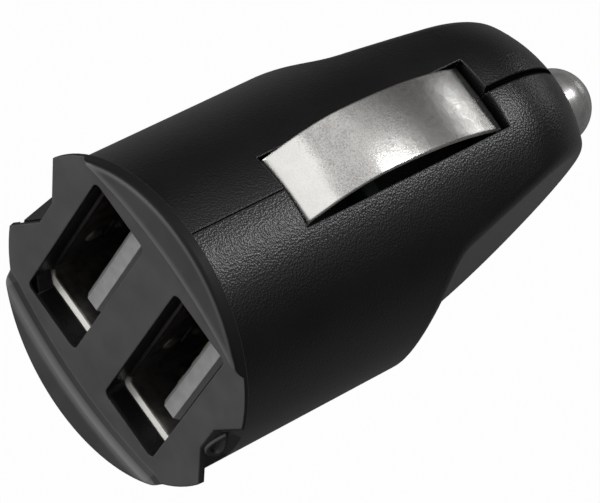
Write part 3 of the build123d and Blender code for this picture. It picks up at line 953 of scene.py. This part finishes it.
class CHARGER_OT_housing(bpy.types.Operator):
    """Finish the housing's halves, add the fillet at the flange's root and the pad in the pull notch"""

    bl_idname = "charger.housing"
    bl_label = "Housing"

    def execute(self, context):
        looks = context.scene.charger_housing
        plastic = moulded_plastic(looks, "moulded_plastic", flange_back)
        paint(("housing_body", "housing_cover"), plastic)
        mesh = bmesh.new()
        for side in (-1, 1):
            flange_root(mesh, looks.root_round, side)
        add_piece("flange_root", mesh, plastic, "charger")
        mesh = bmesh.new()
        thumb_mark(mesh)
        smooth = moulded_plastic(looks, "smooth_plastic", notch_back)
        add_piece("thumb_mark", mesh, smooth, "charger")
        return {"FINISHED"}


class CHARGER_OT_contacts(bpy.types.Operator):
    """Finish the tip, and round and finish the two side contacts"""

    bl_idname = "charger.contacts"
    bl_label = "Contacts"

    def execute(self, context):
        looks = context.scene.charger_metals
        nickel = nickel_plate(looks)
        for name, side in (("upper", 1), ("lower", -1)):
            node = name + "_side_contact"
            mesh = bmesh.new()
            mesh.from_mesh(nodes[node].data)
            crown(mesh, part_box(node)[1].x, side * looks.strip_crown)
            strip = add_piece(name + "_bowed_strip", mesh, nickel, name + "_contact")
            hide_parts(node)
        paint(("tip_pin",), turned_nickel(looks))
        return {"FINISHED"}


class CHARGER_OT_sockets(bpy.types.Operator):
    """Finish the two USB sockets and add the marks pressed into their shells"""

    bl_idname = "charger.sockets"
    bl_label = "Sockets"

    def execute(self, context):
        metals = context.scene.charger_metals
        boards = context.scene.charger_boards
        sheet = shell_sheet(metals)
        paint(("left_socket_shell", "right_socket_shell"), sheet)
        mesh = bmesh.new()
        profile = scaled((share * mark_radius, share * mark_radius, height) for share, height in mark_profile)
        for node in ("left_socket_shell", "right_socket_shell"):
            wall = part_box(node)[0].x + shell_thickness * mm
            for side in (-1, 1):
                base = Vector((wall, mark_depth * mm, side * mark_offset * mm))
                mound(mesh, base, Vector((1, 0, 0)), Vector((0, 1, 0)), profile, 28)
        add_piece("shell_marks", mesh, sheet, "charger")
        paint(("left_socket_insulator", "right_socket_insulator"), tongue_plastic(boards))
        paint(("left_socket_contacts", "right_socket_contacts"), gold_plate(metals))
        return {"FINISHED"}


class CHARGER_OT_spring(bpy.types.Operator):
    """Wind the tip spring with closed ends and finish it, its terminal and the ground tabs"""

    bl_idname = "charger.spring"
    bl_label = "Spring"

    def execute(self, context):
        metals = context.scene.charger_metals
        sizes = context.scene.charger_coils
        steel = sheet_steel("spring_steel", metals.steel_colour, metals.steel_dull, 0.002 * mm)
        wire = sizes.spring_wire
        steps = 32
        bottom = spring_low.y + wire / 2
        top = spring_high.y - wire / 2
        open_rise = (top - bottom - 2 * wire) / sizes.spring_turns
        rises = [0.0]
        for turn in range(sizes.spring_turns + 2):
            closed = turn == 0 or turn == sizes.spring_turns + 1
            for _ in range(steps):
                rises.append(rises[-1] + (wire if closed else open_rise) / steps)
        mesh = bmesh.new()
        radius = spring_high.x - wire / 2
        along = Vector((0, 1, 0))
        coil(mesh, bottom * along, along, Vector((1, 0, 0)), radius, wire, rises, steps, 12)
        spring = add_piece("tip_coil", mesh, steel, "charger")
        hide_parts("tip_spring")
        travel = next(joint for joint in frame["joints"] if joint["name"] == "tip_slide")["range_m"][1]
        keep = 1 - travel / (spring_high.y - spring_low.y)
        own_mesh(spring)
        paint(("spring_terminal", "upper_ground_tab", "lower_ground_tab"), steel)
        return {"FINISHED"}


class CHARGER_OT_boards(bpy.types.Operator):
    """Finish the two boards, add the solder that joins them and the sockets, and lay the insulating films"""

    bl_idname = "charger.boards"
    bl_label = "Boards"

    def execute(self, context):
        looks = context.scene.charger_boards
        metals = context.scene.charger_metals
        paint(("socket_board", "main_board"), solder_mask(looks))
        paint(("board_joint_pins",), gold_plate(metals))
        self.solder_joints(looks)
        self.lay_films(looks)
        return {"FINISHED"}

    def solder_joints(self, looks):
        """Solder behind the socket board, at the sockets' blades and at the pins between the boards."""
        mesh = bmesh.new()
        along = Vector((0, 1, 0))
        first = Vector((0, 0, 1))
        for side in ("left", "right"):
            low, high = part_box(side + "_socket_contacts")
            for z in (low.z + blade_inset, low.z + second_blade, high.z - second_blade, high.z - blade_inset):
                base = Vector(((low.x + high.x) / 2, board_back, z))
                mound(mesh, base, along, first, scaled(blade_joint))
        low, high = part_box("board_joint_pins")
        spacing = (high.z - low.z - 2 * pin_inset) / (pin_count - 1)
        for k in range(pin_count):
            base = Vector(((low.x + high.x) / 2, board_back, low.z + pin_inset + k * spacing))
            mound(mesh, base, along, first, scaled(pin_joint))
        add_piece("board_solder", mesh, solder(looks), "charger")

    def lay_films(self, looks):
        """Films over the sockets and over the main board, under both side contacts."""
        mesh = bmesh.new()
        over_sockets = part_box("left_socket_shell")[1].z
        over_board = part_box("main_board")[1].z
        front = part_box("socket_board")[0].y - film_gap
        back = board_back + film_gap
        for side in (-1, 1):
            film(mesh, side, over_sockets, socket_film_half, socket_film_start, front)
            film(mesh, side, over_board, board_film_half, back, board_back + board_film_reach)
        add_piece("insulating_films", mesh, insulating_film(looks), "charger")


class CHARGER_OT_components(bpy.types.Operator):
    """Finish the converter's parts and wind the inductor"""

    bl_idname = "charger.components"
    bl_label = "Components"

    def execute(self, context):
        looks = context.scene.charger_boards
        sizes = context.scene.charger_coils
        paint(("converter_chip",), chip_package(looks))
        paint(("blocking_diode",), diode_package(looks))
        small_parts = (
            ("fuse_body", "board_fuse", 1, looks.fuse_colour, looks.fuse_dull, 0.5),
            ("resistor_body", "chip_resistors", 2, looks.package_colour, looks.ferrite_dark, 0.35),
            ("ceramic_body", "ceramic_capacitor", 1, looks.ceramic_colour, looks.ceramic_dull, 0.45),
        )
        for name, node, count, bright, dull, cap_mm in small_parts:
            paint((node,), tinned_part(name, node, count, bright, dull, cap_mm, looks))
        paint(("inductor_core",), pressed_ferrite(looks))
        for name in ("input_capacitor", "output_capacitor"):
            paint((name,), capacitor_can(name, looks))
        self.wind_inductor(looks, sizes.winding_wire)
        return {"FINISHED"}

    def wind_inductor(self, looks, wire):
        """One close layer of wire about the core's waist."""
        steps = 36
        room = winding_high.x - winding_low.x - wire
        turns = math.floor(room / wire)
        pitch = room / turns
        rises = [wire / 2 + pitch * i / steps for i in range(turns * steps + 1)]
        middle = (winding_low + winding_high) / 2
        centre = Vector((winding_low.x, middle.y, middle.z))
        radius = (winding_high.y - winding_low.y) / 2 - wire / 2
        mesh = bmesh.new()
        coil(mesh, centre, Vector((1, 0, 0)), Vector((0, 1, 0)), radius, wire, rises, steps, 10)
        winding = add_piece("wound_wire", mesh, enamelled_copper(looks), "charger")
        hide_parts("inductor_winding")


class CHARGER_OT_studio(bpy.types.Operator):
    """Lay the floor, light the plug and place the camera"""

    bl_idname = "charger.studio"
    bl_label = "Studio"

    def execute(self, context):
        looks = context.scene.charger_studio
        self.lay_floor(looks)
        self.set_sky(context.scene, looks)
        lamps = (
            ("front_lamp", (-0.11, -0.25, 0.32), 0.26, 0.26, looks.front_power),
            ("back_lamp", (0.024, 0.264, 0.312), 0.08, 0.08, looks.back_power),
            ("strip_lamp", (-0.048, 0.296, 0.28), 0.05, 0.05, looks.strip_power),
            ("side_lamp", (-0.33, -0.29, 0.13), 0.25, 0.25, looks.side_power),
            ("low_lamp", (-0.045, 0.43, 0.078), 0.14, 0.06, looks.low_power),
        )
        for name, place, width, height, watts in lamps:
            self.hang_lamp(name, place, width, height, watts)
        self.place_camera(context.scene, looks.focal_length)
        return {"FINISHED"}

    def lay_floor(self, looks):
        """Wide pale disc just under the plug."""
        mesh = bmesh.new()
        bmesh.ops.create_circle(mesh, cap_ends=True, radius=floor_radius, segments=96)
        data = bpy.data.meshes.new("floor")
        mesh.to_mesh(data)
        mesh.free()
        floor = bpy.data.objects.new("floor", data)
        floor.location = (0, 0, solid_box[0][2] - floor_gap)
        bpy.context.scene.collection.objects.link(floor)
        finish = Finish("floor")
        glossy = finish.node("ShaderNodeLightPath", {}, {}, "Is Glossy Ray")
        through = finish.node("ShaderNodeLightPath", {}, {}, "Is Transmission Ray")
        straight = finish.node("ShaderNodeLightPath", {}, {}, "Is Camera Ray")
        white_share = (looks.floor_glow * straight).most(looks.mirrored_glow * glossy.most(through))
        paper = finish.node("ShaderNodeBsdfDiffuse", {}, {"Color": (*looks.floor_colour, 1.0)})
        glow = finish.node("ShaderNodeEmission", {}, {"Color": white, "Strength": 1.0})
        data.materials.append(finish.done(finish.blend(white_share, paper, glow)))

    def set_sky(self, scene, looks):
        """Soft grey sky, darker towards the horizon, and white where it is seen past the floor."""
        sky = Tree(bpy.data.worlds.new("studio"), "ShaderNodeOutputWorld")
        direction = sky.node("ShaderNodeTexCoord", {}, {}, "Generated")
        height = sky.node("ShaderNodeSeparateXYZ", {}, {0: direction}, "Z")
        tone = sky.mix(height.ease(0.53, 0.86), looks.rim_colour, looks.sky_colour)
        straight = sky.node("ShaderNodeLightPath", {}, {}, "Is Camera Ray")
        tone = sky.mix(straight, tone, white[:3])
        scene.world = sky.done(sky.node("ShaderNodeBackground", {}, {"Color": tone, "Strength": 1.0}))

    def hang_lamp(self, name, location, width, height, watts):
        """Soft lamp that faces the plug."""
        lamp = bpy.data.lights.new(name, "AREA")
        lamp.shape = "RECTANGLE"
        lamp.size = width
        lamp.size_y = height
        lamp.energy = watts
        holder = bpy.data.objects.new(name, lamp)
        bpy.context.scene.collection.objects.link(holder)
        holder.location = location
        aim = lamp_target - Vector(location)
        holder.rotation_euler = aim.to_track_quat("-Z", "Y").to_euler()
        holder.visible_camera = False

    def place_camera(self, scene, focal_length):
        """Camera above and beside the face, looking along the plug."""
        camera = bpy.data.cameras.new("camera")
        camera.lens = focal_length
        camera.sensor_width = 36.0
        camera.clip_start = 0.01
        holder = bpy.data.objects.new("camera", camera)
        scene.collection.objects.link(holder)
        back = camera_right.cross(camera_up).normalized()
        up = back.cross(camera_right).normalized()
        turn = Matrix((camera_right.normalized(), up, back)).transposed().to_4x4()
        holder.matrix_world = Matrix.Translation(camera_place) @ turn
        scene.camera = holder
        scene.view_settings.view_transform = "Standard"


# Sidebar, registration and run

groups = {
    "charger_housing": HousingLooks,
    "charger_metals": MetalLooks,
    "charger_boards": BoardLooks,
    "charger_coils": CoilSizes,
    "charger_studio": StudioLooks,
}
operators = (
    CHARGER_OT_housing,
    CHARGER_OT_contacts,
    CHARGER_OT_sockets,
    CHARGER_OT_spring,
    CHARGER_OT_boards,
    CHARGER_OT_components,
    CHARGER_OT_studio,
)


class CHARGER_PT_sidebar(bpy.types.Panel):
    """Settings and steps of the charger plug"""

    bl_label = "Charger plug"
    bl_idname = "CHARGER_PT_sidebar"
    bl_space_type = "VIEW_3D"
    bl_region_type = "UI"
    bl_category = "Charger"

    def draw(self, context):
        for attribute, group in groups.items():
            box = self.layout.box()
            box.label(text=group.__doc__)
            for name in group.__annotations__:
                box.prop(getattr(context.scene, attribute), name)
        for operator in operators:
            self.layout.operator(operator.bl_idname)


def register():
    for attribute, group in groups.items():
        bpy.utils.register_class(group)
        setattr(bpy.types.Scene, attribute, bpy.props.PointerProperty(type=group))
    for operator in operators:
        bpy.utils.register_class(operator)
    bpy.utils.register_class(CHARGER_PT_sidebar)


def unregister():
    bpy.utils.unregister_class(CHARGER_PT_sidebar)
    for operator in reversed(operators):
        bpy.utils.unregister_class(operator)
    for attribute, group in reversed(groups.items()):
        delattr(bpy.types.Scene, attribute)
        bpy.utils.unregister_class(group)


def main():
    register()
    bpy.ops.charger.housing()
    bpy.ops.charger.contacts()
    bpy.ops.charger.sockets()
    bpy.ops.charger.spring()
    bpy.ops.charger.boards()
    bpy.ops.charger.components()
    bpy.ops.charger.studio()


if __name__ == "__main__":
    main()
